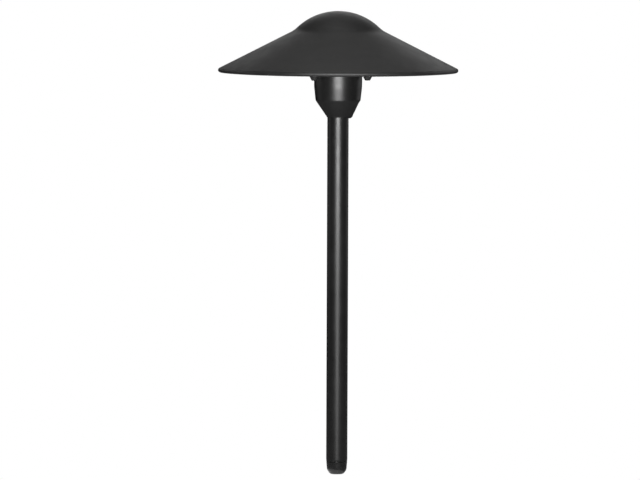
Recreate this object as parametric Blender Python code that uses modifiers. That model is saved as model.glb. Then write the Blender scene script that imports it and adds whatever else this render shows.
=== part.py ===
"""Wide-hat path light: a spun hat clamped by three studs over a glass lamp chamber, on a pipe stem.

Units are metres and +Z is up. The origin is the centre of the stem's lower end face.
+X is the light's right hand and -Y is its front. A bearing of 0 degrees points right and 90 to the front.
"""

import math

import bmesh
import bpy
from mathutils import Matrix, Vector

# ---- Driving dimensions ---------------------------------------------------------------------
GAP = 0.0003  # clearance between neighbours that touch on the real object
CUT = 0.0010  # how far a cutter passes the faces that it opens

STEM_RADIUS = 0.0111  # 7/8-inch tube
STEM_BORE = 0.0090
STEM_TAPER = 0.0020  # how far up the lower end narrows to meet the foot
FOOT_HEIGHT = 0.0130  # the moulded plug that rounds off the stem's lower end
FOOT_TOP_RADIUS = 0.0109
FOOT_WAIST_RADIUS = 0.0102
FOOT_WAIST_Z = 0.0045
FOOT_TOE_RADIUS = 0.0076
FOOT_TOE_Z = 0.0007
FOOT_TOE_FILLET = 0.0024
FOOT_FACE_RADIUS = 0.0062
FOOT_FILLET = 0.0055
FOOT_SHANK = 0.0110  # how far the plug reaches up the bore
FOOT_SHANK_FILLET = 0.0010

RIM_Z = 0.4220  # height of the hat's widest circle
HAT_RADIUS = 0.1251
HAT_SHEET = 0.0018
HAT_CONE_ANGLE = math.radians(26.9)
DOME_RADIUS = 0.0620
DOME_HALF_WIDTH = 0.0455
DOME_EASING = 0.0016  # the dome and the cone each stop this far from their corner
EDGE_RADIUS = 0.0023  # of the rim, which is turned under into a short lip
LIP_ANGLE = math.radians(4)
LIP_WIDTH = 0.0060

CUP_BOTTOM_Z = RIM_Z - 0.0489
CUP_SHOULDER_Z = RIM_Z - 0.0314  # where the lower cone meets the drafted wall
CUP_SHOULDER_FILLET = 0.0040
CUP_DRAFT_Z = RIM_Z - 0.0168
CUP_MOUTH_RADIUS = 0.02505
CUP_MOUTH_FILLET = 0.0020
CUP_WAIST_RADIUS = 0.02345
CUP_NECK_RADIUS = 0.0120
CUP_NECK_EDGE = 0.0009  # height of the land below the lower cone
CUP_NECK_DRAFT = 0.0002
CUP_CHAMBER_RADIUS = 0.0190
NECK_BORE_DEPTH = 0.0195
FLANGE_RADIUS = 0.0390
FLANGE_THICKNESS = 0.0035
FLANGE_FILLET = 0.0008
FLANGE_Z = RIM_Z + 0.0009  # its underside

STUD_CIRCLE = 0.0325
STUD_BEARINGS = {"right": 20.0, "left": 140.0, "rear": 260.0}
STUD_RADIUS = 0.0029  # M6
STUD_END_Z = RIM_Z - 0.0065
STUD_TOP_CHAMFER = 0.0004
STUD_END_CHAMFER = 0.0006
STUD_PROUD = 0.0017  # how far it stands above its nut
SPACER_RADIUS = 0.0045
SPACER_CHAMFER = 0.0004
NUT_ACROSS_FLATS = 0.0104
NUT_CORNER_RADIUS = NUT_ACROSS_FLATS / 2 / math.cos(math.pi / 6)
STUD_NUT_HEIGHT = 0.0048
NUT_HEX_HEIGHT = 0.0046
NUT_CAP_HEIGHT = 0.0048
NUT_CAP_RADIUS = 0.0050
NUT_END_RADIUS = 0.0026
NUT_END_FILLET = 0.0008
WASHER_RADIUS = 0.0060
WASHER_THICKNESS = 0.0011
WASHER_CHAMFER = 0.0002

PLATE_Z = RIM_Z + 0.0365  # underside of the reflector plate
PLATE_THICKNESS = 0.0012
PLATE_RADIUS = 0.0455

LENS_RADIUS = 0.0260
LENS_WALL = 0.0030
LENS_CHAMFER = 0.0005
SEAL_THICKNESS = 0.0014
SEAL_LIP = 0.0006  # how far the upper seal overhangs the glass

HOLDER_RADIUS = 0.0090
HOLDER_HEIGHT = 0.0090
HOLDER_PLATE_THICKNESS = 0.0015
PIN_RADIUS = 0.00035  # G4 pins stand 4 mm apart
PIN_SPACING = 0.0040

CABLE_RADIUS = 0.0032
LEAD_RADIUS = 0.0009

SET_SCREW_BEARING = 8.0
SET_SCREW_RADIUS = 0.0019  # M4
SET_SCREW_Z = CUP_BOTTOM_Z + 0.0034

# ---- Heights worked out from them -----------------------------------------------------------
FLANGE_TOP_Z = FLANGE_Z + FLANGE_THICKNESS
STEM_TOP_Z = CUP_BOTTOM_Z + NECK_BORE_DEPTH
NECK_SHOULDER_Z = STEM_TOP_Z + 0.0020
CHAMBER_FLOOR_Z = NECK_SHOULDER_Z + 0.0025
HOLDER_PLATE_Z = RIM_Z - 0.0030
HOLDER_Z = HOLDER_PLATE_Z + HOLDER_PLATE_THICKNESS + GAP
HOLDER_TOP_Z = HOLDER_Z + HOLDER_HEIGHT
LENS_Z = FLANGE_TOP_Z
LENS_TOP_Z = PLATE_Z - SEAL_THICKNESS - 2 * GAP

ROUND = 36  # segments of a large turned piece
SMALL = 18  # segments of a small one
HAT_SEGMENTS = 48
SHARP_ANGLE = math.radians(35)
MERGE_DISTANCE = 0.00002


# ---- Scene and materials --------------------------------------------------------------------
def clear_scene():
    for obj in list(bpy.data.objects):
        bpy.data.objects.remove(obj)
    for mesh in list(bpy.data.meshes):
        bpy.data.meshes.remove(mesh)


def collection(name):
    made = bpy.data.collections.new(name)
    bpy.context.scene.collection.children.link(made)
    return made


def material(name, colour, roughness, metallic=0.0, alpha=1.0):
    made = bpy.data.materials.new(name)
    made.use_nodes = True
    shader = made.node_tree.nodes["Principled BSDF"]
    shader.inputs["Base Color"].default_value = (*colour, 1.0)
    shader.inputs["Roughness"].default_value = roughness
    shader.inputs["Metallic"].default_value = metallic
    shader.inputs["Alpha"].default_value = alpha
    return made


clear_scene()
PARTS = collection("path_light")
CUTTERS = collection("cutters")

BLACK_PAINT = material("black_paint", (0.030, 0.030, 0.031), 0.42)
WHITE_PAINT = material("white_paint", (0.86, 0.86, 0.84), 0.35)
STEEL = material("stainless_steel", (0.62, 0.61, 0.60), 0.28, metallic=1.0)
BLACK_STEEL = material("blackened_steel", (0.035, 0.035, 0.036), 0.38, metallic=1.0)
ALUMINIUM = material("aluminium", (0.72, 0.73, 0.74), 0.32, metallic=1.0)
BRASS = material("brass", (0.78, 0.62, 0.32), 0.30, metallic=1.0)
RUBBER = material("black_rubber", (0.020, 0.020, 0.020), 0.80)
SILICONE = material("silicone", (0.72, 0.72, 0.70), 0.60)
FROSTED_GLASS = material("frosted_glass", (0.93, 0.94, 0.93), 0.45, alpha=0.45)
CERAMIC = material("ceramic", (0.88, 0.86, 0.81), 0.45)
BOARD = material("lamp_board", (0.83, 0.84, 0.82), 0.50)
PHOSPHOR = material("phosphor", (0.92, 0.78, 0.28), 0.50)
RED_PLASTIC = material("red_insulation", (0.45, 0.03, 0.03), 0.50)
BLACK_PLASTIC = material("black_insulation", (0.020, 0.020, 0.022), 0.50)


# ---- Shapes ---------------------------------------------------------------------------------
def frame(name, parent=None, location=(0, 0, 0), rotation=(0, 0, 0)):
    """An empty on a moving body's joint axis."""
    made = bpy.data.objects.new(name, None)
    PARTS.objects.link(made)
    made.parent = parent
    made.location = location
    made.rotation_euler = rotation
    return made


def place(obj, parent, location=(0, 0, 0), paint=None):
    """Links a piece, or a cutter if it has no paint."""
    obj.parent = parent
    obj.location = location
    if paint is None:
        CUTTERS.objects.link(obj)
        obj.hide_render = True
        obj.display_type = "WIRE"
    else:
        PARTS.objects.link(obj)
        obj.data.materials.append(paint)
    return obj


def mesh_object(name, bm):
    mesh = bpy.data.meshes.new(name)
    bm.to_mesh(mesh)
    bm.free()
    mesh.shade_smooth()
    mesh.set_sharp_from_angle(angle=SHARP_ANGLE)
    return bpy.data.objects.new(name, mesh)


def rounded(corners, steps=3, closed=True):
    """The outline through (radius, height, fillet) corners, with each fillet drawn as an arc."""
    points = []
    count = len(corners)
    for i, (x, z, fillet) in enumerate(corners):
        corner = Vector((x, z))
        at_end = not closed and i in (0, count - 1)
        if fillet == 0 or at_end:
            points.append(corner)
            continue
        before = (Vector(corners[i - 1][:2]) - corner).normalized()
        after = (Vector(corners[(i + 1) % count][:2]) - corner).normalized()
        half = before.angle(after) / 2
        middle = (before + after).normalized()
        centre = corner + middle * (fillet / math.sin(half))
        start = corner + before * (fillet / math.tan(half)) - centre
        end = corner + after * (fillet / math.tan(half)) - centre
        swing = start.angle_signed(end)
        for k in range(steps + 1):
            points.append(centre + Matrix.Rotation(-swing * k / steps, 2) @ start)
    return points


def lathe(name, outline, segments, closed=True):
    """A solid of revolution about local Z. The outline goes down its outer side and up its inner side."""
    bm = bmesh.new()
    verts = [bm.verts.new((x, 0, z)) for x, z in outline]
    pairs = list(zip(verts, verts[1:]))
    if closed:
        pairs.append((verts[-1], verts[0]))
    for a, b in pairs:
        bm.edges.new((a, b))
    obj = mesh_object(name, bm)
    screw = obj.modifiers.new("turn", "SCREW")
    screw.steps = segments
    screw.render_steps = segments
    screw.use_merge_vertices = True
    screw.merge_threshold = MERGE_DISTANCE
    return obj


def ring_outline(outer, inner, bottom, top, chamfer=0.0):
    """The section of a tube, gasket or washer."""
    return rounded(
        [
            (outer, top, chamfer),
            (outer, bottom, chamfer),
            (inner, bottom, 0),
            (inner, top, 0),
        ],
        steps=1,
    )


def cylinder(name, radius, bottom, top, segments=SMALL):
    """A closed cylinder or prism along local Z."""
    bm = bmesh.new()
    bmesh.ops.create_cone(
        bm,
        cap_ends=True,
        segments=segments,
        radius1=radius,
        radius2=radius,
        depth=top - bottom,
        matrix=Matrix.Translation((0, 0, (top + bottom) / 2)),
    )
    return mesh_object(name, bm)


def box(name, size, centre=(0, 0, 0)):
    bm = bmesh.new()
    scale = Matrix.Diagonal((*size, 1.0))
    bmesh.ops.create_cube(bm, size=1.0, matrix=Matrix.Translation(centre) @ scale)
    return mesh_object(name, bm)


def combine(obj, other, operation):
    step = obj.modifiers.new(f"{operation.lower()}_{other.name}", "BOOLEAN")
    step.operation = operation
    step.solver = "EXACT"
    step.object = other


def drill(obj, name, radius, bottom, top, location=(0, 0, 0), rotation=(0, 0, 0), segments=12):
    """Cuts a round hole along local Z through a piece."""
    hole = cylinder(name, radius, bottom, top, segments)
    place(hole, obj.parent, location).rotation_euler = rotation
    combine(obj, hole, "DIFFERENCE")


def on_bearing(radius, bearing, z):
    turn = math.radians(bearing)
    return Vector((radius * math.cos(turn), -radius * math.sin(turn), z))


def wire(name, points, radius, parent, paint):
    """A round wire through a few points."""
    curve = bpy.data.curves.new(name, "CURVE")
    curve.dimensions = "3D"
    curve.bevel_depth = radius
    curve.bevel_resolution = 2
    curve.use_fill_caps = True
    spline = curve.splines.new("POLY")
    spline.points.add(len(points) - 1)
    for knot, point in zip(spline.points, points):
        knot.co = (*point, 1.0)
    obj = bpy.data.objects.new(name, curve)
    return place(obj, parent, paint=paint)


# ---- Stem -----------------------------------------------------------------------------------
PLUG_RADIUS = STEM_BORE - GAP
CABLE_HOLE = CABLE_RADIUS + GAP
GROMMET_SHANK = 0.0080
CABLE_INSET = 0.0010  # how far each end of the cable sits back


def make_pipe(body):
    bottom = FOOT_HEIGHT + GAP
    outline = [
        (STEM_RADIUS, STEM_TOP_Z),
        (STEM_RADIUS, bottom + STEM_TAPER),
        (FOOT_TOP_RADIUS, bottom),
        (STEM_BORE, bottom),
        (STEM_BORE, STEM_TOP_Z),
    ]
    place(lathe("stem", outline, ROUND), body, paint=BLACK_PAINT)


def make_foot(body):
    """The moulded plug that rounds off the stem's lower end. The cable's end shows in its hole."""
    shank_top = FOOT_HEIGHT + FOOT_SHANK
    corners = [
        (PLUG_RADIUS, shank_top, FOOT_SHANK_FILLET),
        (PLUG_RADIUS, FOOT_HEIGHT, 0),
        (FOOT_TOP_RADIUS, FOOT_HEIGHT, 0),
        (FOOT_WAIST_RADIUS, FOOT_WAIST_Z, FOOT_FILLET),
        (FOOT_TOE_RADIUS, FOOT_TOE_Z, FOOT_TOE_FILLET),
        (FOOT_FACE_RADIUS, 0, 0),
        (CABLE_HOLE, 0, 0),
        (CABLE_HOLE, shank_top, 0),
    ]
    place(lathe("stem_foot", rounded(corners), 28), body, paint=RUBBER)


def make_cable(body):
    """The supply cable, and the grommet that centres it in the stem's top."""
    flange = NECK_SHOULDER_Z - GAP
    seat = STEM_TOP_Z + GAP
    outline = [
        (STEM_RADIUS - GAP, flange),
        (STEM_RADIUS - GAP, seat),
        (PLUG_RADIUS, seat),
        (PLUG_RADIUS, seat - GROMMET_SHANK),
        (CABLE_HOLE, seat - GROMMET_SHANK),
        (CABLE_HOLE, flange),
    ]
    place(lathe("cable_grommet", outline, SMALL), body, paint=RUBBER)
    top = CHAMBER_FLOOR_Z - CABLE_INSET
    cable = cylinder("supply_cable", CABLE_RADIUS, CABLE_INSET, top, 16)
    place(cable, body, paint=BLACK_PLASTIC)


# ---- Lamp cup -------------------------------------------------------------------------------
BORE_RADIUS = STEM_RADIUS + GAP
MOUTH_BORE = 0.0205  # the cup's mouth, above the ledge that the holder plate rests on
SEAL_GROOVE_DEPTH = 0.0020
SEAL_GROOVE_INNER = LENS_RADIUS - LENS_WALL - 0.0007
SEAL_GROOVE_OUTER = LENS_RADIUS + 0.0009
BOSS_RADIUS = 0.0033
BOSS_OFFSET = 0.0152
PLATE_SCREW_RADIUS = 0.0014  # M3
PLATE_SCREW_LENGTH = 0.0080
PLATE_SCREW_HEAD = 0.0027
PLATE_SCREW_HEAD_HEIGHT = 0.0018
PLATE_SCREW = (PLATE_SCREW_RADIUS, PLATE_SCREW_HEAD, PLATE_SCREW_HEAD_HEIGHT, PLATE_SCREW_LENGTH)
STUD_CLEARANCE = 0.0005
O_RING_Z = CUP_BOTTOM_Z + 0.0105
O_RING_SECTION = 0.00085
O_RING_CLEARANCE = 0.0002
O_RING_RADIUS = STEM_RADIUS + O_RING_CLEARANCE + O_RING_SECTION
SET_SOCKET_RADIUS = 0.0011
SET_SOCKET_DEPTH = 0.0022
SET_BOSS_RADIUS = 0.0045
SET_BOSS_REACH = 0.0161
SET_BOSS_FILLET = 0.0018
SET_BOSS_ROOT = STEM_RADIUS + 0.0012
SET_SCREW_INSET = 0.0004  # its head below the boss
SET_SCREW_CHAMFER = 0.0006


def cup_outline():
    groove = O_RING_RADIUS + O_RING_SECTION + O_RING_CLEARANCE
    groove_half = O_RING_SECTION + O_RING_CLEARANCE
    seal_floor = FLANGE_TOP_Z - SEAL_GROOVE_DEPTH
    corners = [
        (FLANGE_RADIUS, FLANGE_TOP_Z, FLANGE_FILLET),
        (FLANGE_RADIUS, FLANGE_Z, FLANGE_FILLET),
        (CUP_MOUTH_RADIUS, FLANGE_Z, CUP_MOUTH_FILLET),
        (CUP_MOUTH_RADIUS, CUP_DRAFT_Z, 0),
        (CUP_WAIST_RADIUS, CUP_SHOULDER_Z, CUP_SHOULDER_FILLET),
        (CUP_NECK_RADIUS, CUP_BOTTOM_Z + CUP_NECK_EDGE, 0),
        (CUP_NECK_RADIUS - CUP_NECK_DRAFT, CUP_BOTTOM_Z, 0),
        (BORE_RADIUS, CUP_BOTTOM_Z, 0),
        (BORE_RADIUS, O_RING_Z - groove_half, 0),
        (groove, O_RING_Z - groove_half, 0),
        (groove, O_RING_Z + groove_half, 0),
        (BORE_RADIUS, O_RING_Z + groove_half, 0),
        (BORE_RADIUS, NECK_SHOULDER_Z, 0),
        (STEM_BORE, NECK_SHOULDER_Z, 0),
        (STEM_BORE, CHAMBER_FLOOR_Z, 0),
        (CUP_CHAMBER_RADIUS, CHAMBER_FLOOR_Z, 0),
        (CUP_CHAMBER_RADIUS, HOLDER_PLATE_Z - GAP, 0),
        (MOUTH_BORE, HOLDER_PLATE_Z - GAP, 0),
        (MOUTH_BORE, FLANGE_TOP_Z, 0),
        (SEAL_GROOVE_INNER, FLANGE_TOP_Z, 0),
        (SEAL_GROOVE_INNER, seal_floor, 0),
        (SEAL_GROOVE_OUTER, seal_floor, 0),
        (SEAL_GROOVE_OUTER, FLANGE_TOP_Z, 0),
    ]
    return rounded(corners)


def radial_rotation(bearing):
    """Turns local Z to point straight out at a bearing."""
    out = on_bearing(1.0, bearing, 0.0)
    return out.to_track_quat("Z", "X").to_euler()


def make_cup(body):
    """The cast cup: bell, neck, flange, two screw bosses inside and the set screw's boss outside."""
    cup = place(lathe("lamp_cup", cup_outline(), ROUND), body, paint=BLACK_PAINT)
    boss_top = HOLDER_PLATE_Z - GAP
    for side, name in ((-1, "left"), (1, "right")):
        at = (side * BOSS_OFFSET, 0, 0)
        boss = cylinder(f"boss_{name}", BOSS_RADIUS, CHAMBER_FLOOR_Z - CUT, boss_top, 16)
        combine(cup, place(boss, body, at), "UNION")
        hole_radius = PLATE_SCREW_RADIUS + GAP
        hole_bottom = HOLDER_PLATE_Z - PLATE_SCREW_LENGTH - CUT
        drill(cup, f"boss_hole_{name}", hole_radius, hole_bottom, boss_top + CUT, at)
    for name, bearing in STUD_BEARINGS.items():
        at = on_bearing(STUD_CIRCLE, bearing, 0)
        radius = STUD_RADIUS + STUD_CLEARANCE
        drill(cup, f"stud_hole_{name}", radius, FLANGE_Z - CUT, FLANGE_TOP_Z + CUT, at)
    add_set_boss(cup)


def add_set_boss(cup):
    """The round boss on the neck that the set screw runs through."""
    at = (0, 0, SET_SCREW_Z)
    turn = radial_rotation(SET_SCREW_BEARING)
    corners = [
        (0, SET_BOSS_REACH, 0),
        (SET_BOSS_RADIUS, SET_BOSS_REACH, SET_BOSS_FILLET),
        (SET_BOSS_RADIUS, SET_BOSS_ROOT, 0),
        (0, SET_BOSS_ROOT, 0),
    ]
    boss = lathe("set_boss", rounded(corners, closed=False), SMALL, closed=False)
    place(boss, cup.parent, at).rotation_euler = turn
    combine(cup, boss, "UNION")
    hole_radius = SET_SCREW_RADIUS + GAP
    drill(cup, "set_hole", hole_radius, BORE_RADIUS - 3 * CUT, SET_BOSS_REACH + CUT, at, turn, 16)


def make_set_screw(body):
    """The grub screw that locks the cup to the stem. Its frame's local Z points out along its axis."""
    tip = STEM_RADIUS + GAP
    head = SET_BOSS_REACH - SET_SCREW_INSET
    chamfer = SET_SCREW_CHAMFER
    corners = [
        (0, head, 0),
        (SET_SCREW_RADIUS, head, chamfer / 2),
        (SET_SCREW_RADIUS, tip + chamfer, 0),
        (SET_SCREW_RADIUS - chamfer, tip, 0),
        (0, tip, 0),
    ]
    outline = rounded(corners, 1, closed=False)
    screw = place(lathe("neck_set_screw", outline, 16, closed=False), body, paint=BLACK_STEEL)
    drill(screw, "set_socket", SET_SOCKET_RADIUS, head - SET_SOCKET_DEPTH, head + CUT, segments=6)


def make_neck_seal(body):
    """The O-ring that keeps water out of the neck."""
    turns = [math.tau * k / 8 for k in range(8)]
    outline = [
        (
            O_RING_RADIUS + O_RING_SECTION * math.cos(turn),
            O_RING_Z - O_RING_SECTION * math.sin(turn),
        )
        for turn in turns
    ]
    place(lathe("neck_o_ring", outline, 28), body, paint=RUBBER)


# ---- Lamp holder ----------------------------------------------------------------------------
HOLDER_SCREW_OFFSET = 0.0060
HOLDER_SCREW_RADIUS = 0.0012
HOLDER_SCREW_HEAD = 0.0022
HOLDER_SCREW_HEAD_HEIGHT = 0.0014
HOLDER_SCREW_END = 0.0010  # how far it comes out below the plate
HOLDER_FILLET = 0.0012
HOLDER_RECESS_Z = HOLDER_TOP_Z - 0.0025  # the floor of the holder's two screw recesses
CONTACT_RADIUS = 0.0012
CONTACT_TOP_Z = HOLDER_TOP_Z - 0.0010
CONTACT_BOTTOM_Z = HOLDER_Z + 0.0012
CONTACT_CLEARANCE = 0.0002  # round the lamp pin
LEAD_HOLE = 0.0016
LEAD_TOP_Z = HOLDER_Z + 0.0009
LEAD_SLACK_TOP_Z = HOLDER_PLATE_Z - 0.0010
LEAD_END_Z = CHAMBER_FLOOR_Z + 0.0004
LEAD_END_OFFSET = 0.0013
LEAD_BOW = 0.0042
LEAD_SWAY = 0.0018
LEAD_KNOTS = 12


def pan_screw(name, radius, head_radius, head_height, length, body, location):
    """A slotted pan-head screw, its head standing on local Z = 0 and its shank running down."""
    corners = [
        (0, head_height, 0),
        (head_radius * 0.75, head_height, head_height / 4),
        (head_radius, 0, 0),
        (radius, 0, 0),
        (radius, radius / 2 - length, 0),
        (radius / 2, -length, 0),
        (0, -length, 0),
    ]
    outline = rounded(corners, 2, closed=False)
    screw = place(lathe(name, outline, 16, closed=False), body, location, STEEL)
    slot_size = (head_radius * 3, head_radius * 0.3, head_height)
    slot = box(f"slot_{name}", slot_size, (0, 0, head_height))
    combine(screw, place(slot, body, location), "DIFFERENCE")


def make_holder_plate(body):
    """The disc across the cup's mouth, with its two fixing screws."""
    top = HOLDER_PLATE_Z + HOLDER_PLATE_THICKNESS
    plate = cylinder("holder_plate", MOUTH_BORE - GAP, HOLDER_PLATE_Z, top, ROUND)
    place(plate, body, paint=ALUMINIUM)
    holes = [
        ("plate_hole_left", -BOSS_OFFSET, 0, PLATE_SCREW_RADIUS + GAP),
        ("plate_hole_right", BOSS_OFFSET, 0, PLATE_SCREW_RADIUS + GAP),
        ("plate_hole_front", 0, -HOLDER_SCREW_OFFSET, HOLDER_SCREW_RADIUS + GAP),
        ("plate_hole_rear", 0, HOLDER_SCREW_OFFSET, HOLDER_SCREW_RADIUS + GAP),
        ("plate_lead_left", -PIN_SPACING / 2, 0, LEAD_HOLE),
        ("plate_lead_right", PIN_SPACING / 2, 0, LEAD_HOLE),
    ]
    for name, x, y, radius in holes:
        drill(plate, name, radius, HOLDER_PLATE_Z - CUT, top + CUT, (x, y, 0))
    for side, name in ((-1, "left"), (1, "right")):
        at = (side * BOSS_OFFSET, 0, top + GAP)
        pan_screw(f"plate_screw_{name}", *PLATE_SCREW, body, at)


def make_holder(body):
    """The ceramic two-pin lamp holder."""
    corners = [
        (0, HOLDER_TOP_Z, 0),
        (HOLDER_RADIUS, HOLDER_TOP_Z, HOLDER_FILLET),
        (HOLDER_RADIUS, HOLDER_Z, 0),
        (0, HOLDER_Z, 0),
    ]
    outline = rounded(corners, 2, closed=False)
    holder = place(lathe("lamp_holder", outline, 28, closed=False), body, paint=CERAMIC)
    bottom = HOLDER_Z - CUT
    above = HOLDER_TOP_Z + CUT
    for side, name in ((-1, "front"), (1, "rear")):
        at = (0, side * HOLDER_SCREW_OFFSET, 0)
        drill(holder, f"screw_hole_{name}", HOLDER_SCREW_RADIUS + GAP, bottom, HOLDER_TOP_Z, at)
        drill(holder, f"recess_{name}", HOLDER_SCREW_HEAD + GAP, HOLDER_RECESS_Z, above, at)
    for side, name in ((-1, "left"), (1, "right")):
        at = (side * PIN_SPACING / 2, 0, 0)
        drill(holder, f"pin_well_{name}", CONTACT_RADIUS + GAP, bottom, CONTACT_TOP_Z, at)
        drill(holder, f"pin_mouth_{name}", PIN_RADIUS + GAP, HOLDER_Z, above, at)


def make_holder_screws(body):
    length = HOLDER_RECESS_Z - HOLDER_PLATE_Z + HOLDER_SCREW_END
    screw = (HOLDER_SCREW_RADIUS, HOLDER_SCREW_HEAD, HOLDER_SCREW_HEAD_HEIGHT, length)
    for side, name in ((-1, "front"), (1, "rear")):
        at = (0, side * HOLDER_SCREW_OFFSET, HOLDER_RECESS_Z + GAP)
        pan_screw(f"holder_screw_{name}", *screw, body, at)


def make_wiring(body):
    """The holder's two sprung contacts, drawn as sleeves, and the leads from them to the cable."""
    bore = PIN_RADIUS + CONTACT_CLEARANCE
    section = ring_outline(CONTACT_RADIUS, bore, CONTACT_BOTTOM_Z, CONTACT_TOP_Z - GAP)
    for side, name in ((-1, "left"), (1, "right")):
        at = (side * PIN_SPACING / 2, 0, 0)
        place(lathe(f"contact_{name}", section, 12), body, at, BRASS)
    wire("lead_red", lead_points(-1), LEAD_RADIUS, body, RED_PLASTIC)
    wire("lead_black", lead_points(1), LEAD_RADIUS, body, BLACK_PLASTIC)


def lead_points(side):
    """A lead runs straight down through the plate, then in a slack S to the cable's end."""
    start = PIN_SPACING / 2
    points = [(side * start, 0, LEAD_TOP_Z)]
    for k in range(LEAD_KNOTS + 1):
        t = k / LEAD_KNOTS
        x = start + (LEAD_END_OFFSET - start) * t + LEAD_BOW * math.sin(math.pi * t) ** 2
        y = LEAD_SWAY * math.sin(math.tau * t)
        z = LEAD_SLACK_TOP_Z + (LEAD_END_Z - LEAD_SLACK_TOP_Z) * t
        points.append((side * x, side * y, z))
    return points


# ---- Glass chamber --------------------------------------------------------------------------
def make_lower_seal(body):
    floor = FLANGE_TOP_Z - SEAL_GROOVE_DEPTH + GAP
    outer = SEAL_GROOVE_OUTER - GAP
    outline = ring_outline(outer, SEAL_GROOVE_INNER + GAP, floor, floor + SEAL_THICKNESS)
    place(lathe("lens_seal_lower", outline, ROUND), body, paint=SILICONE)


def make_lens(body):
    """The frosted glass tube, with the seal that caps it."""
    inner = LENS_RADIUS - LENS_WALL
    outline = ring_outline(LENS_RADIUS, inner, LENS_Z + GAP, LENS_TOP_Z, LENS_CHAMFER)
    place(lathe("lens", outline, ROUND), body, paint=FROSTED_GLASS)
    seal = ring_outline(
        LENS_RADIUS + SEAL_LIP,
        inner - SEAL_LIP,
        LENS_TOP_Z + GAP,
        LENS_TOP_Z + GAP + SEAL_THICKNESS,
    )
    place(lathe("lens_seal_upper", seal, ROUND), body, paint=SILICONE)


# ---- Lamp -----------------------------------------------------------------------------------
LAMP_BASE_RADIUS = 0.0062
LAMP_BASE_HEIGHT = 0.0065
LAMP_BASE_TOP_FILLET = 0.0010
LAMP_BASE_FILLET = 0.0004
LAMP_Z = HOLDER_TOP_Z + 0.0006
CORE_RADIUS = 0.0063  # to the corners of the lamp's three-sided core
CORE_HEIGHT = 0.0180
CORE_SIDES = 3
CHIP_SIZE = (0.0050, 0.0050, 0.0014)
CHIP_ROWS = 2
PIN_LENGTH = 0.0070
HAIRLINE = 0.0001  # the gap between the lamp's own bonded pieces


def make_lamp(body):
    """The plug-in lamp: two pins, a round base and a three-sided core."""
    base_top = LAMP_Z + LAMP_BASE_HEIGHT
    corners = [
        (0, base_top, 0),
        (LAMP_BASE_RADIUS, base_top, LAMP_BASE_TOP_FILLET),
        (LAMP_BASE_RADIUS, LAMP_Z, LAMP_BASE_FILLET),
        (0, LAMP_Z, 0),
    ]
    outline = rounded(corners, 2, closed=False)
    place(lathe("lamp_base", outline, 24, closed=False), body, paint=CERAMIC)
    for side, name in ((-1, "left"), (1, "right")):
        pin = cylinder(f"lamp_pin_{name}", PIN_RADIUS, LAMP_Z - PIN_LENGTH, LAMP_Z - HAIRLINE, 10)
        place(pin, body, (side * PIN_SPACING / 2, 0, 0), BRASS)
    bottom = base_top + HAIRLINE
    core = cylinder("lamp_core", CORE_RADIUS, bottom, bottom + CORE_HEIGHT, CORE_SIDES)
    place(core, body, paint=BOARD)
    make_chips(body, bottom)


def make_chips(body, bottom):
    """The light-emitting chips, two on each of the core's flat sides."""
    face = CORE_RADIUS * math.cos(math.pi / CORE_SIDES)  # from the axis to a flat side
    reach = face + CHIP_SIZE[2] / 2 + HAIRLINE
    pitch = CORE_HEIGHT / CHIP_ROWS
    number = 0
    for side in range(CORE_SIDES):
        out = Matrix.Rotation(math.tau * side / CORE_SIDES, 3, "Z") @ Vector((0, -1, 0))
        for row in range(CHIP_ROWS):
            number += 1
            chip = box(f"led_chip_{number}", CHIP_SIZE)
            place(chip, body, out * reach + Vector((0, 0, bottom + pitch * (row + 0.5))), PHOSPHOR)
            chip.rotation_euler = out.to_track_quat("Z", "Y").to_euler()


# ---- Hat ------------------------------------------------------------------------------------
def arc(centre, radius, first, last, steps):
    """Points round a centre, between two angles measured clockwise from straight up."""
    turns = [first + (last - first) * k / steps for k in range(steps + 1)]
    return [centre + radius * Vector((math.sin(t), math.cos(t))) for t in turns]


def hat_outline():
    """The hat's section: dome, cone, the rim turned under into a short lip, and back up the inside."""
    slope = math.tan(HAT_CONE_ANGLE)
    rim = Vector((HAT_RADIUS - EDGE_RADIUS, RIM_Z))
    lip_turn = math.pi - LIP_ANGLE
    bend = arc(rim, EDGE_RADIUS, HAT_CONE_ANGLE, lip_turn, 5)
    inner_bend = arc(rim, EDGE_RADIUS - HAT_SHEET, lip_turn, HAT_CONE_ANGLE, 2)

    def cone_z(radius, depth=0.0):
        return bend[0].y + (bend[0].x - radius) * slope - depth / math.cos(HAT_CONE_ANGLE)

    join_z = cone_z(DOME_HALF_WIDTH)
    centre = Vector((0, join_z - math.sqrt(DOME_RADIUS**2 - DOME_HALF_WIDTH**2)))
    join_turn = math.asin(DOME_HALF_WIDTH / DOME_RADIUS)
    ease_radius = DOME_HALF_WIDTH + DOME_EASING
    dome = arc(centre, DOME_RADIUS, 0, join_turn - DOME_EASING / DOME_RADIUS, 7)

    along = -Vector((math.cos(LIP_ANGLE), math.sin(LIP_ANGLE)))
    foot = bend[-1] + along * LIP_WIDTH
    foot_top = inner_bend[0] + along * LIP_WIDTH
    inner_radius = DOME_RADIUS - HAT_SHEET
    inner_turn = math.asin((DOME_HALF_WIDTH - HAT_SHEET / 2) / inner_radius)
    inner_dome = arc(centre, inner_radius, inner_turn, 0, 6)
    dome_foot = Vector((ease_radius, cone_z(ease_radius, HAT_SHEET)))
    outer = dome + [Vector((ease_radius, cone_z(ease_radius)))] + bend
    return outer + [foot, foot_top] + inner_bend + [dome_foot] + inner_dome


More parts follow.
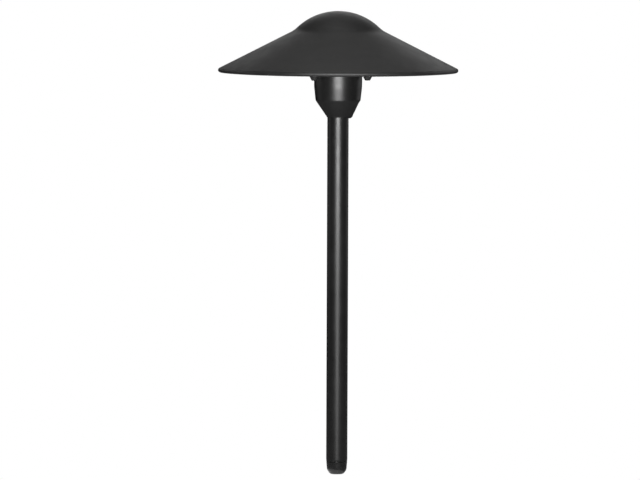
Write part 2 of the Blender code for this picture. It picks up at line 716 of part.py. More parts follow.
def make_hat(body):
    """The hat, and the reflector plate across its dome that carries the studs."""
    place(lathe("hat", hat_outline(), HAT_SEGMENTS, closed=False), body, paint=BLACK_PAINT)
    top = PLATE_Z + PLATE_THICKNESS
    plate = cylinder("reflector_plate", PLATE_RADIUS, PLATE_Z, top, ROUND)
    place(plate, body, paint=WHITE_PAINT)
    for name, bearing in STUD_BEARINGS.items():
        at = on_bearing(STUD_CIRCLE, bearing, 0)
        drill(plate, f"plate_hole_{name}", STUD_RADIUS + GAP, PLATE_Z - CUT, top + CUT, at, segments=16)
        make_stud(name, body, at, top)


def make_stud(name, body, at, plate_top):
    """A stud, the spacer tube round it, and the hex nut that holds it in the reflector plate."""
    top = plate_top + STUD_NUT_HEIGHT + STUD_PROUD
    corners = [
        (0, top, 0),
        (STUD_RADIUS, top, STUD_TOP_CHAMFER),
        (STUD_RADIUS, STUD_END_Z, STUD_END_CHAMFER),
        (0, STUD_END_Z, 0),
    ]
    outline = rounded(corners, 1, closed=False)
    place(lathe(f"stud_{name}", outline, 16, closed=False), body, at, STEEL)

    bore = STUD_RADIUS + GAP
    bottom = FLANGE_TOP_Z + GAP
    section = ring_outline(SPACER_RADIUS, bore, bottom, PLATE_Z - GAP, SPACER_CHAMFER)
    place(lathe(f"spacer_{name}", section, SMALL), body, at, STEEL)

    bottom = plate_top + GAP
    nut_top = bottom + STUD_NUT_HEIGHT
    nut = cylinder(f"stud_nut_{name}", NUT_CORNER_RADIUS, bottom, nut_top, 6)
    place(nut, body, at, STEEL)
    drill(nut, f"stud_nut_bore_{name}", bore, bottom - CUT, nut_top + CUT, at, segments=16)


# ---- Cap nuts -------------------------------------------------------------------------------
def make_washer(name, body):
    """A plain washer under the flange. Its frame stands on the flange's underside."""
    bottom = -GAP - WASHER_THICKNESS
    outline = ring_outline(WASHER_RADIUS, STUD_RADIUS + GAP, bottom, -GAP, WASHER_CHAMFER)
    place(lathe(f"washer_{name}", outline, SMALL), body, paint=STEEL)


def make_cap_nut(name, body):
    """A cap nut: a hexagon, a tapered closed end below it, and a blind bore for the stud's end."""
    top = -2 * GAP - WASHER_THICKNESS
    hex_bottom = top - NUT_HEX_HEIGHT
    end = hex_bottom - NUT_CAP_HEIGHT
    nut = cylinder(f"cap_nut_{name}", NUT_CORNER_RADIUS, hex_bottom, top, 6)
    place(nut, body, paint=BLACK_STEEL)
    corners = [
        (0, hex_bottom + CUT, 0),
        (NUT_CAP_RADIUS, hex_bottom + CUT, 0),
        (NUT_CAP_RADIUS, hex_bottom - GAP, 0),
        (NUT_END_RADIUS, end, NUT_END_FILLET),
        (0, end, 0),
    ]
    cap = lathe(f"nut_cap_{name}", rounded(corners, 2, closed=False), SMALL, closed=False)
    combine(nut, place(cap, body), "UNION")
    depth = FLANGE_Z - STUD_END_Z + 2 * GAP
    drill(nut, f"nut_bore_{name}", STUD_RADIUS + GAP, -depth, CUT, segments=16)


# ---- Assembly -------------------------------------------------------------------------------
def main():
    stem = frame("body_stem")
    head = frame("body_head", stem)
    make_pipe(stem)
    make_foot(stem)
    make_cable(stem)
    make_cup(head)
    make_neck_seal(head)
    make_holder_plate(head)
    make_holder(head)
    make_holder_screws(head)
    make_wiring(head)
    make_lower_seal(head)
    make_lens(frame("body_lens", head))
    make_lamp(frame("body_lamp", head))
    make_hat(frame("body_hat", head))
    screw_turn = radial_rotation(SET_SCREW_BEARING)
    make_set_screw(frame("body_set_screw", head, (0, 0, SET_SCREW_Z), screw_turn))
    for name, bearing in STUD_BEARINGS.items():
        at = on_bearing(STUD_CIRCLE, bearing, FLANGE_Z)
        washer = frame(f"body_washer_{name}", head, at)
        make_washer(name, washer)
        make_cap_nut(name, frame(f"body_cap_nut_{name}", washer))


main()
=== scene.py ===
"""Looks for the wide-hat path light.

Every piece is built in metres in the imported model's frame, round the boxes of the CAD nodes
that it stands for. The light stands on +Z and its front faces -Y.
"""

import math

import bmesh
import bpy
from mathutils import Matrix, Vector


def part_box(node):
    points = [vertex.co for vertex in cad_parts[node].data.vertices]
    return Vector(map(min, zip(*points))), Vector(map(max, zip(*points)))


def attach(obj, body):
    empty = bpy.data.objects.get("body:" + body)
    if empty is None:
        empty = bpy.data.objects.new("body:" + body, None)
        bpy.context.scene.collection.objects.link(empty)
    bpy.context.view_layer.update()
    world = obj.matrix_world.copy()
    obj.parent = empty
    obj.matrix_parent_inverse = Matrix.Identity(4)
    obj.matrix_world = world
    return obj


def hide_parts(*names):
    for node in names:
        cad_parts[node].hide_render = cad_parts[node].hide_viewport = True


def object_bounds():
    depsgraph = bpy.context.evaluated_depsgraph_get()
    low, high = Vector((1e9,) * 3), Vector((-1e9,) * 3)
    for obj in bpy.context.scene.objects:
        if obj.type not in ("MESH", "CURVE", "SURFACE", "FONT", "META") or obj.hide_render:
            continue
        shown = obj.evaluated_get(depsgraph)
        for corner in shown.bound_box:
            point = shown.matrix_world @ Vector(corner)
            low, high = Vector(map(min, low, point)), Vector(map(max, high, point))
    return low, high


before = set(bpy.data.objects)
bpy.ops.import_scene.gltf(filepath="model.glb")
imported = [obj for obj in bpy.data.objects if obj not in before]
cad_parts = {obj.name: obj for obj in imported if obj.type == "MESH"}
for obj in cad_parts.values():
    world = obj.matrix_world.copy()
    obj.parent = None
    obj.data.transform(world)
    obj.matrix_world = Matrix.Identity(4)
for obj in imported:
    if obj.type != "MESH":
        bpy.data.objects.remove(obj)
CAD_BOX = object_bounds()

# ---- Dimensions that the boxes of the CAD nodes don't give ----------------------------------
HAT_SHEET = 0.0018
CONE_ANGLE = math.radians(26.9)
DOME_RADIUS = 0.0620
DOME_HALF_WIDTH = 0.0455
CREASE_EASE = 0.0042  # half the width of the soft crease between dome and cone
EDGE_RADIUS = 0.0023
LIP_ANGLE = math.radians(4)
LIP_WIDTH = 0.0060
LIP_FILLET = 0.0006

CUP_MOUTH_RADIUS = 0.02505
CUP_WAIST_RADIUS = 0.02345
CUP_NECK_RADIUS = 0.0120
CUP_NECK_EDGE = 0.0009  # heights above the cup's bottom
CUP_SHOULDER = 0.0175
CUP_DRAFT = 0.0321
CUP_FILLETS = (0.0020, 0.0600, 0.0040, 0.0005)  # mouth, draft, shoulder and neck
FLANGE_THICKNESS = 0.0035
FLANGE_FILLET = 0.0009
MOUTH_BORE = 0.0205
MOUTH_DEPTH = 0.0077
CHAMBER_RADIUS = 0.0190
CHAMBER_FLOOR = 0.0240
BORE_RADIUS = 0.0114
BORE_DEPTH = 0.0215
STEM_BORE = 0.0090
STEM_TAPER = 0.0020
SEAL_GROOVE_DEPTH = 0.0020
SEAL_GROOVE_WIDTH = 0.0043
POST_RADIUS = 0.0033  # of the two posts under the holder plate
POST_FOOT_RADIUS = 0.0042
POST_BORE = 0.0017
SET_BOSS_DROP = 0.0011  # how far it hangs below the neck
SET_BOSS_TOP = 0.0150  # where it meets the shoulder, above the cup's bottom
SET_BOSS_SLOPE = 0.455  # of its outer side, which stands steeper than the cup's lower cone
SET_BOSS_SPREAD = math.radians(40)
SET_BOSS_ROUND = 0.0021
SET_SCREW_RADIUS = 0.0019
SET_SCREW_REACH = 0.0149
SET_SCREW_HOLE = 0.0021
SET_SCREW_SOCKET = 0.00125

FOOT_WAIST = (0.0102, 0.0045, 0.0055)  # radius, height, fillet
FOOT_TOE = (0.0076, 0.0007, 0.0024)
FOOT_FACE_RADIUS = 0.0062

THREAD_PITCH = 0.0010
THREAD_DEPTH = 0.00045
THREAD_SEGMENTS = 28
ACROSS_FLATS = 0.0104
HEX_HEIGHT = 0.0046
HEX_SEGMENTS = 72
NUT_FACE_SHARE = 0.97  # radius of a nut's flat end, as a share of half its width across flats
NUT_BORE = 0.0032
NUT_BORE_DEPTH = 0.0058
LEAD_IN = 0.0004  # chamfer at the mouth of a nut's bore
CAP_BASE_SHARE = 0.93  # radius of a cap where it leaves its hexagon
CAP_STEP = 0.0006
CAP_END_RADIUS = 0.0026
SPACER_WALL = 0.0013

PLATE_DISH_SHARE = 0.42  # the part of the reflector plate that is sunk
PLATE_DISH_DEPTH = 0.0006
PLATE_DISH_SLOPE = 0.0020

JACKET_WALL = 0.0007
CORE_RADIUS = 0.00105  # insulated cores at the cable's cut end
CORE_OFFSET = 0.00115
STRAND_RADIUS = 0.00019

GLASS_WALL = 0.0030
LOWER_SEAL_WIDTH = 0.0040
UPPER_SEAL_WIDTH = 0.0042
CHIP_THICKNESS = 0.0014
CHIP_BORDER = 0.0006
CHIP_SINK = 0.0002
CHIP_DOME = 0.00012

SMOOTH_ANGLE = math.radians(35)
SIDES = ("right", "left", "rear")  # where the three studs stand

# ---- Camera and floor -----------------------------------------------------------------------
CAMERA_LENS = 324
CAMERA_ELEVATION = math.radians(3.69)
CAMERA_ROLL = math.radians(0.20)
CAMERA_DISTANCE = 6.008
CAMERA_AIM = Vector((-0.0183, 0, 0.0030))  # from the middle of the CAD box
FLOOR_REACH = 90.0
FLOOR_GREY = 0.32
SKY_STRENGTH = 0.02


# ---- Node materials -------------------------------------------------------------------------
def grey(level):
    return (level, level, level)


def is_socket(value):
    return isinstance(value, bpy.types.NodeSocket)


class Shader:
    """A Principled material with object coordinates, and short calls for the nodes that feed it."""

    def __init__(self, name):
        self.material = bpy.data.materials.new(name)
        self.material.use_nodes = True
        self.tree = self.material.node_tree
        self.principled = self.tree.nodes["Principled BSDF"]
        self.coords = self.node("TexCoord").outputs["Object"]

    def node(self, kind, inputs=None, **settings):
        made = self.tree.nodes.new("ShaderNode" + kind)
        for key, value in settings.items():
            setattr(made, key, value)
        for key, value in (inputs or {}).items():
            self.feed(made.inputs[key], value)
        return made

    def feed(self, socket, value):
        if is_socket(value):
            self.tree.links.new(value, socket)
        else:
            socket.default_value = value

    def set(self, **values):
        for key, value in values.items():
            self.feed(self.principled.inputs[key.replace("_", " ")], value)

    def noise(self, scale, detail=3.0, stretch=(1, 1, 1), roughness=0.5):
        """Noise of about 1/scale metres."""
        place = self.node("Mapping", {"Vector": self.coords, "Scale": stretch})
        inputs = {"Vector": place.outputs[0], "Scale": scale}
        inputs.update({"Detail": detail, "Roughness": roughness})
        return self.node("TexNoise", inputs).outputs["Fac"]

    def cells(self, scale):
        inputs = {"Vector": self.coords, "Scale": scale, "Smoothness": 0.6}
        return self.node("TexVoronoi", inputs, feature="SMOOTH_F1").outputs["Distance"]

    def spread(self, value, low, high, out_low=0.0, out_high=1.0):
        inputs = {"Value": value, "From Min": low, "From Max": high}
        inputs.update({"To Min": out_low, "To Max": out_high})
        return self.node("MapRange", inputs).outputs[0]

    def maths(self, operation, a, b=0.0):
        return self.node("Math", {0: a, 1: b}, operation=operation).outputs[0]

    def blend(self, factor, a, b):
        made = self.node("Mix", data_type="RGBA")
        self.feed(made.inputs[0], factor)
        self.feed(made.inputs[6], a if is_socket(a) else (*a, 1))
        self.feed(made.inputs[7], b if is_socket(b) else (*b, 1))
        return made.outputs[2]

    def facing_up(self):
        """1 where the surface faces straight up and 0 where it is upright or faces down."""
        normal = self.node("NewGeometry").outputs["Normal"]
        height = self.node("SeparateXYZ", {0: normal}).outputs["Z"]
        return self.spread(height, 0.15, 1.0)

    def bump(self, *layers):
        """Bumps from (height socket, depth in metres) pairs."""
        normal = None
        for height, depth in layers:
            made = self.node("Bump", {"Height": height, "Distance": depth, "Strength": 1.0})
            if normal is not None:
                self.feed(made.inputs["Normal"], normal)
            normal = made.outputs[0]
        self.set(Normal=normal)


def powder_coat(name, level, roughness, grain, depth, dusting_and_top_light):
    """Baked powder coat: fine grain, slow mottling in shade and gloss, and upward faces made
    lighter towards grey in cloudy patches, which is painted light from above mixed with some
    dusting and specks.
    """
    s = Shader(name)
    mottle = s.noise(70, 4)
    clouds = s.noise(14, 2)
    grains = s.noise(grain, 2, roughness=0.6)
    body = s.blend(s.spread(mottle, 0.3, 0.7), grey(level * 0.86), grey(level * 1.14))
    # Painted top light: faces that point up are mixed towards grey in cloudy patches, partly
    # standing for dusting. The scattered specks are dusting.
    top_light_and_dusting = s.maths("MULTIPLY", s.facing_up(), s.spread(clouds, 0.25, 0.75, 0.35, 1.0))
    specks = s.spread(s.noise(grain * 0.55, 2), 0.66, 0.76)
    top_light_and_dusting = s.maths("MULTIPLY", s.maths("ADD", top_light_and_dusting, s.maths("MULTIPLY", specks, 0.5)), dusting_and_top_light)
    s.set(Base_Color=s.blend(top_light_and_dusting, body, (0.30, 0.30, 0.29)))
    s.set(Roughness=s.spread(mottle, 0.3, 0.7, roughness - 0.035, roughness + 0.035))
    s.bump((s.noise(520, 2), depth * 1.3), (grains, depth), (s.cells(grain * 0.8), depth * 0.5))
    return s.material


def white_paint():
    s = Shader("white_paint")
    mottle = s.noise(60, 3)
    s.set(Base_Color=s.blend(s.spread(mottle, 0.3, 0.7), (0.80, 0.80, 0.78), (0.87, 0.87, 0.86)))
    s.set(Roughness=s.spread(mottle, 0.3, 0.7, 0.36, 0.46))
    s.bump((s.noise(900, 2), 0.00003), (s.noise(2400, 2), 0.00001))
    return s.material


def bare_metal(name, colour, roughness, stretch=(1, 1, 14)):
    """Turned or drawn metal, with fine lines across the stretch."""
    s = Shader(name)
    lines = s.noise(420, 4, stretch=stretch)
    stains = s.noise(240, 3)
    dull = tuple(0.72 * c for c in colour)
    s.set(Base_Color=s.blend(s.spread(stains, 0.35, 0.75), colour, dull), Metallic=1.0)
    s.set(Roughness=s.spread(lines, 0.3, 0.7, roughness - 0.07, roughness + 0.09))
    s.bump((lines, 0.000008))
    return s.material


def black_steel():
    """Blackened steel that shows a little bare metal where it has been handled."""
    s = Shader("blackened_steel")
    rubbed = s.spread(s.noise(900, 4), 0.60, 0.74, 0.0, 0.35)
    s.set(Base_Color=s.blend(rubbed, grey(0.055), grey(0.20)), Metallic=0.85)
    s.set(Roughness=s.spread(s.noise(500, 3), 0.3, 0.7, 0.34, 0.48))
    s.bump((s.noise(1500, 3), 0.000012))
    return s.material


def rubber(name, level, roughness=0.62):
    s = Shader(name)
    bloom = s.spread(s.noise(160, 4), 0.45, 0.8, 0.0, 0.5)
    s.set(Base_Color=s.blend(bloom, grey(level), grey(level * 2.2)))
    s.set(Roughness=s.spread(s.noise(90, 3), 0.3, 0.7, roughness - 0.06, roughness + 0.08))
    s.bump((s.noise(700, 3), 0.00002), (s.noise(2600, 2), 0.00001))
    return s.material


def silicone():
    s = Shader("silicone")
    s.set(Base_Color=s.blend(s.noise(200, 3), (0.66, 0.66, 0.64), (0.74, 0.74, 0.72)))
    s.set(Roughness=0.5, Subsurface_Weight=0.25, Subsurface_Scale=0.002)
    s.bump((s.noise(1100, 2), 0.00001))
    return s.material


def frosted_glass():
    s = Shader("frosted_glass")
    etch = s.noise(2600, 3)
    s.set(Base_Color=(0.93, 0.95, 0.94, 1), Transmission_Weight=0.82, IOR=1.47)
    s.set(Roughness=s.spread(etch, 0.3, 0.7, 0.34, 0.48))
    s.bump((etch, 0.000012), (s.noise(60, 2), 0.00006))
    return s.material


def ceramic():
    s = Shader("ceramic")
    specks = s.spread(s.noise(1300, 2), 0.66, 0.72)
    s.set(Base_Color=s.blend(specks, (0.80, 0.78, 0.72), (0.62, 0.57, 0.48)))
    s.set(Roughness=s.spread(s.noise(200, 3), 0.3, 0.7, 0.32, 0.46), Coat_Weight=0.25)
    s.bump((s.noise(500, 3), 0.00002))
    return s.material


def lamp_board():
    """White solder mask over copper tracks."""
    s = Shader("lamp_board")
    place = s.node("Mapping", {"Vector": s.coords, "Scale": (520, 520, 300)})
    tracks = s.node("TexBrick", {"Vector": place.outputs[0], "Scale": 1.0, "Mortar Size": 0.05})
    lines = s.maths("MULTIPLY", tracks.outputs["Fac"], 0.6)
    s.set(Base_Color=s.blend(lines, (0.80, 0.81, 0.79), (0.63, 0.66, 0.60)), Roughness=0.38)
    s.bump((tracks.outputs["Fac"], 0.00002))
    return s.material


def phosphor():
    s = Shader("phosphor")
    s.set(Base_Color=s.blend(s.noise(3500, 3), (0.80, 0.58, 0.10), (0.90, 0.72, 0.20)))
    s.set(Roughness=0.35, Subsurface_Weight=0.3, Subsurface_Scale=0.0006)
    s.bump((s.noise(3000, 2), 0.000008))
    return s.material


def insulation(name, colour):
    s = Shader(name)
    scuff = s.spread(s.noise(300, 4), 0.55, 0.8, 0.0, 0.25)
    pale = tuple(min(1.0, c + 0.12) for c in colour)
    s.set(Base_Color=s.blend(scuff, colour, pale))
    s.set(Roughness=s.spread(s.noise(120, 3), 0.3, 0.7, 0.40, 0.55))
    s.bump((s.noise(1500, 2), 0.00001))
    return s.material


# name, shade, roughness, grains per metre, grain depth, dusting and painted top light
HAT_COAT = powder_coat("hat_powder_coat", 0.014, 0.50, 1700, 0.00005, 0.06)
CUP_COAT = powder_coat("cup_powder_coat", 0.008, 0.36, 1100, 0.000012, 0.02)
STEM_COAT = powder_coat("stem_powder_coat", 0.008, 0.36, 1100, 0.000012, 0.0)
NUT_COAT = powder_coat("nut_black", 0.020, 0.24, 1500, 0.000008, 0.0)
WHITE_PAINT = white_paint()
STEEL = bare_metal("stainless_steel", (0.60, 0.59, 0.57), 0.30)
ALUMINIUM = bare_metal("aluminium", (0.70, 0.71, 0.72), 0.34, (12, 1, 1))
BRASS = bare_metal("brass", (0.74, 0.57, 0.27), 0.28)
COPPER = bare_metal("copper", (0.72, 0.36, 0.22), 0.30)
BLACK_STEEL = black_steel()
FOOT_RUBBER = rubber("foot_rubber", 0.008, 0.26)
SEAL_RUBBER = rubber("seal_rubber", 0.014, 0.65)
SILICONE = silicone()
GLASS = frosted_glass()
CERAMIC = ceramic()
BOARD = lamp_board()
PHOSPHOR = phosphor()
RED = insulation("red_insulation", (0.42, 0.02, 0.02))
BLACK = insulation("black_insulation", (0.014, 0.014, 0.015))


# ---- Shapes ---------------------------------------------------------------------------------
def mesh_object(name, bm, materials):
    bmesh.ops.recalc_face_normals(bm, faces=bm.faces)
    mesh = bpy.data.meshes.new(name)
    bm.to_mesh(mesh)
    bm.free()
    obj = bpy.data.objects.new(name, mesh)
    bpy.context.scene.collection.objects.link(obj)
    for material in materials:
        mesh.materials.append(material)
    return obj


def rounded(corners, steps=6, closed=True):
    """The outline through (radius, height, fillet) corners, with each fillet drawn as an arc."""
    points = []
    count = len(corners)
    for i, (x, z, fillet) in enumerate(corners):
        corner = Vector((x, z))
        at_end = not closed and i in (0, count - 1)
        if fillet == 0 or at_end:
            points.append(corner)
            continue
        before = (Vector(corners[i - 1][:2]) - corner).normalized()
        after = (Vector(corners[(i + 1) % count][:2]) - corner).normalized()
        half = before.angle(after) / 2
        middle = (before + after).normalized()
        centre = corner + middle * (fillet / math.sin(half))
        start = corner + before * (fillet / math.tan(half)) - centre
        end = corner + after * (fillet / math.tan(half)) - centre
        swing = start.angle_signed(end)
        for k in range(steps + 1):
            points.append(centre + Matrix.Rotation(-swing * k / steps, 2) @ start)
    return points


def ring(bm, radius, z, segments, axis):
    """One ring of a lathed piece, or a single point on its axis.

    The radius and the height may be functions of the angle.
    """
    if not callable(radius) and radius < 1e-7:
        return [bm.verts.new((axis.x, axis.y, z))]
    verts = []
    for k in range(segments):
        turn = math.tau * k / segments
        r = radius(turn) if callable(radius) else radius
        height = z(turn) if callable(z) else z
        point = (axis.x + r * math.cos(turn), axis.y + r * math.sin(turn), height)
        verts.append(bm.verts.new(point))
    return verts


def join_rings(bm, upper, lower, index=0):
    count = max(len(upper), len(lower))
    for k in range(count):
        after = (k + 1) % count
        if len(upper) == 1:
            verts = (upper[0], lower[k], lower[after])
        elif len(lower) == 1:
            verts = (upper[k], lower[0], upper[after])
        else:
            verts = (upper[k], lower[k], lower[after], upper[after])
        bm.faces.new(verts).material_index = index


def join_all(bm, rings):
    for upper, lower in zip(rings, rings[1:]):
        join_rings(bm, upper, lower)


def lathe(name, outline, materials, segments=96, closed=True, axis=(0, 0), paint=None):
    """A solid of revolution. paint, if given, says which material a step of the outline takes."""
    bm = bmesh.new()
    axis = Vector((axis[0], axis[1]))
    rings = [ring(bm, r, z, segments, axis) for r, z in outline]
    pairs = list(zip(rings, rings[1:]))
    if closed:
        pairs.append((rings[-1], rings[0]))
    for i, (upper, lower) in enumerate(pairs):
        join_rings(bm, upper, lower, paint(i) if paint else 0)
    return mesh_object(name, bm, materials)


def tube_outline(outer, inner, bottom, top, fillet):
    ends = ((outer, top), (outer, bottom), (inner, bottom), (inner, top))
    return rounded([(r, z, fillet) for r, z in ends], 4)


def cutter(radius, bottom, top, x, y, segments=48):
    """An upright cylinder to cut a hole with."""
    outline = [(0, top), (radius, top), (radius, bottom), (0, bottom)]
    return lathe("cutter", outline, [], segments, closed=False, axis=(x, y))


def bake(obj):
    """Replaces the mesh by the result of the modifiers."""
    depsgraph = bpy.context.evaluated_depsgraph_get()
    mesh = bpy.data.meshes.new_from_object(obj.evaluated_get(depsgraph))
    obj.modifiers.clear()
    obj.data = mesh


def cut(obj, tool):
    """Takes the tool's shape away from a piece and removes the tool."""
    step = obj.modifiers.new("cut", "BOOLEAN")
    step.operation = "DIFFERENCE"
    step.solver = "EXACT"
    step.object = tool
    bake(obj)
    bpy.data.objects.remove(tool)


def bevel(obj, width, segments=3):
    step = obj.modifiers.new("bevel", "BEVEL")
    step.width = width
    step.segments = segments
    step.limit_method = "ANGLE"
    step.angle_limit = SMOOTH_ANGLE
    bake(obj)


def place(obj, body, *nodes, slot):
    """Shades a finished piece, rides it on its body and hides the CAD nodes it stands for."""
    obj.data.shade_smooth()
    obj.data.set_sharp_from_angle(angle=SMOOTH_ANGLE)
    obj.modifiers.new("even_normals", "WEIGHTED_NORMAL").keep_sharp = True
    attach(obj, body)
    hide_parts(*nodes)


def middle(node):
    low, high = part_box(node)
    return (low + high) / 2


def half_width(node):
    low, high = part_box(node)
    return max(high.x - low.x, high.y - low.y) / 2


# ---- Hat ------------------------------------------------------------------------------------
def arc(centre, radius, first, last, steps):
    """Points round a centre, between two angles measured clockwise from straight up."""
    turns = [first + (last - first) * k / steps for k in range(steps + 1)]
    return [centre + radius * Vector((math.sin(t), math.cos(t))) for t in turns]


def curve_through(start, corner, end, steps):
    """A curve that leaves start towards corner and arrives at end from it."""
    points = []
    for k in range(steps + 1):
        t = k / steps
        points.append(start.lerp(corner, t).lerp(corner.lerp(end, t), t))
    return points


def make_hat():
    """The spun sheet: black from the crown over the rolled edge to the lip, and white inside."""
    low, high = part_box("hat")
    radius = half_width("hat")
    slope = math.tan(CONE_ANGLE)
    lip_turn = math.pi - LIP_ANGLE
    drop = EDGE_RADIUS * math.cos(LIP_ANGLE) + LIP_WIDTH * math.sin(LIP_ANGLE)
    rim = Vector((radius - EDGE_RADIUS, low.z + drop))
    bend = arc(rim, EDGE_RADIUS, CONE_ANGLE, lip_turn, 16)
    inner_bend = arc(rim, EDGE_RADIUS - HAT_SHEET, lip_turn, CONE_ANGLE, 6)

    def on_cone(r, depth=0.0):
        return Vector((r, bend[0].y + (bend[0].x - r) * slope - depth / math.cos(CONE_ANGLE)))

    centre = Vector((0, high.z - DOME_RADIUS))
    join_turn = math.asin(DOME_HALF_WIDTH / DOME_RADIUS)
    dome = arc(centre, DOME_RADIUS, 0, join_turn - CREASE_EASE / DOME_RADIUS, 30)
    join = centre + DOME_RADIUS * Vector((math.sin(join_turn), math.cos(join_turn)))
    cone_start = on_cone(DOME_HALF_WIDTH + CREASE_EASE)
    crease = curve_through(dome[-1], join, cone_start, 8)
    cone = [cone_start.lerp(bend[0], k / 12) for k in range(1, 12)]

    along = -Vector((math.cos(LIP_ANGLE), math.sin(LIP_ANGLE)))
    foot = bend[-1] + along * LIP_WIDTH
    foot_top = inner_bend[0] + along * LIP_WIDTH
    lip = [(*bend[-1], 0), (*foot, LIP_FILLET), (*foot_top, LIP_FILLET), (*inner_bend[0], 0)]
    lip = rounded(lip, 4, closed=False)

    inner_radius = DOME_RADIUS - HAT_SHEET
    inner_turn = math.asin((DOME_HALF_WIDTH - HAT_SHEET / 2) / inner_radius)
    inner_dome = arc(centre, inner_radius, inner_turn, 0, 24)
    inner_start = on_cone(DOME_HALF_WIDTH + CREASE_EASE / 2, HAT_SHEET)
    inner_cone = [inner_bend[-1].lerp(inner_start, k / 8) for k in range(1, 9)]
    black = dome + crease[1:] + cone + bend + lip[1:-1]
    white = inner_bend + inner_cone + inner_dome

    def paint(step):
        return 0 if step < len(black) - 1 else 1

    coats = [HAT_COAT, WHITE_PAINT]
    hat = lathe("hat_shell", black + white, coats, 192, closed=False, paint=paint)
    place(hat, "hat", "hat", slot="black_paint")


def make_reflector_plate():
    low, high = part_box("reflector_plate")
    radius = half_width("reflector_plate")
    dish = radius * PLATE_DISH_SHARE
    corners = [
        (0, high.z - PLATE_DISH_DEPTH, 0),
        (dish - PLATE_DISH_SLOPE, high.z - PLATE_DISH_DEPTH, 0.001),
        (dish, high.z, 0.001),
        (radius, high.z, 0.0005),
        (radius, low.z, 0.0005),
        (dish, low.z, 0.001),
        (dish - PLATE_DISH_SLOPE, low.z + 0.0001, 0.001),
        (0, low.z + 0.0001, 0),
    ]
    outline = rounded(corners, 3, closed=False)
    plate = lathe("reflector_disc", outline, [WHITE_PAINT], closed=False)
    for name in SIDES:
        at = middle(f"stud_{name}")
        hole = half_width(f"stud_{name}") + 0.0003
        cut(plate, cutter(hole, low.z - 0.001, high.z + 0.001, at.x, at.y))
    place(plate, "hat", "reflector_plate", slot="white_paint")


def threaded_bar(name, radius, bottom, top, threads, material, at, end_chamfer=0.0006):
    """A round bar with a 60-degree thread over each (from, to) span in threads."""
    bm = bmesh.new()
    axis = Vector((at.x, at.y))
    step = THREAD_PITCH / 8
    heights = [top, top - end_chamfer, bottom + end_chamfer, bottom]
    for start, end in threads:
        count = round((end - start) / step)
        heights += [start + step * k for k in range(count + 1)]
    heights = sorted({round(z, 7) for z in heights}, reverse=True)

    def radius_at(z):
        spans = [(a, b) for a, b in threads if a <= z <= b]
        fade = min([1.0] + [min(abs(z - a), abs(z - b)) / THREAD_PITCH for a, b in spans])
        end = max(0.0, end_chamfer - min(top - z, z - bottom))

        def at_turn(turn):
            phase = (z / THREAD_PITCH - turn / math.tau) % 1.0
            groove = THREAD_DEPTH * (1 - abs(2 * phase - 1)) * fade if spans else 0.0
            return radius - max(groove, end)

        return at_turn

    rings = [ring(bm, radius_at(z), z, THREAD_SEGMENTS, axis) for z in heights]
    rings = [ring(bm, 0, top, 1, axis)] + rings + [ring(bm, 0, bottom, 1, axis)]
    join_all(bm, rings)
    return mesh_object(name, bm, [material])


def hex_radius(turn):
    """The radius at an angle of a hexagon with a corner on +X."""
    sector = math.pi / 3
    turn += math.pi / 6
    return ACROSS_FLATS / 2 / math.cos((turn + sector / 2) % sector - sector / 2)


def chamfered_hex(bm, bottom, top, axis):
    """The rings of a hexagon nut whose corners are turned off at both ends."""
    face = ACROSS_FLATS / 2 * NUT_FACE_SHARE
    slope = math.tan(math.radians(30))

    def fall(turn):
        return (hex_radius(turn) - face) * slope

    return [
        ring(bm, face, top, HEX_SEGMENTS, axis),
        ring(bm, hex_radius, lambda turn: top - fall(turn), HEX_SEGMENTS, axis),
        ring(bm, hex_radius, lambda turn: bottom + fall(turn), HEX_SEGMENTS, axis),
        ring(bm, face, bottom, HEX_SEGMENTS, axis),
    ]


def make_stud(name):
    """A stud of the hat, with its spacer tube and the nut above the reflector plate."""
    low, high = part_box(f"stud_{name}")
    at = (low + high) / 2
    radius = half_width(f"stud_{name}")
    nut_low, nut_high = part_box(f"stud_nut_{name}")
    threads = [(low.z + 0.0002, low.z + 0.0110), (nut_low.z - 0.0030, high.z - 0.0002)]
    stud = threaded_bar(f"threaded_stud_{name}", radius, low.z, high.z, threads, STEEL, at)
    place(stud, "hat", f"stud_{name}", slot="stainless_steel")

    low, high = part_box(f"spacer_{name}")
    outer = half_width(f"spacer_{name}")
    outline = tube_outline(outer, outer - SPACER_WALL, low.z, high.z, 0.0003)
    spacer = lathe(f"spacer_tube_{name}", outline, [STEEL], 64, axis=at.xy)
    place(spacer, "hat", f"spacer_{name}", slot="stainless_steel")

    bm = bmesh.new()
    rings = chamfered_hex(bm, nut_low.z, nut_high.z, at.xy)
    bore = radius + 0.0002
    bore_side = (
        (bore + LEAD_IN, nut_low.z),
        (bore, nut_low.z + LEAD_IN),
        (bore, nut_high.z - LEAD_IN),
        (bore + LEAD_IN, nut_high.z),
    )
    rings += [ring(bm, r, z, HEX_SEGMENTS, at.xy) for r, z in bore_side]
    join_all(bm, rings + rings[:1])
    nut = mesh_object(f"plate_nut_{name}", bm, [STEEL])
    place(nut, "hat", f"stud_nut_{name}", slot="stainless_steel")


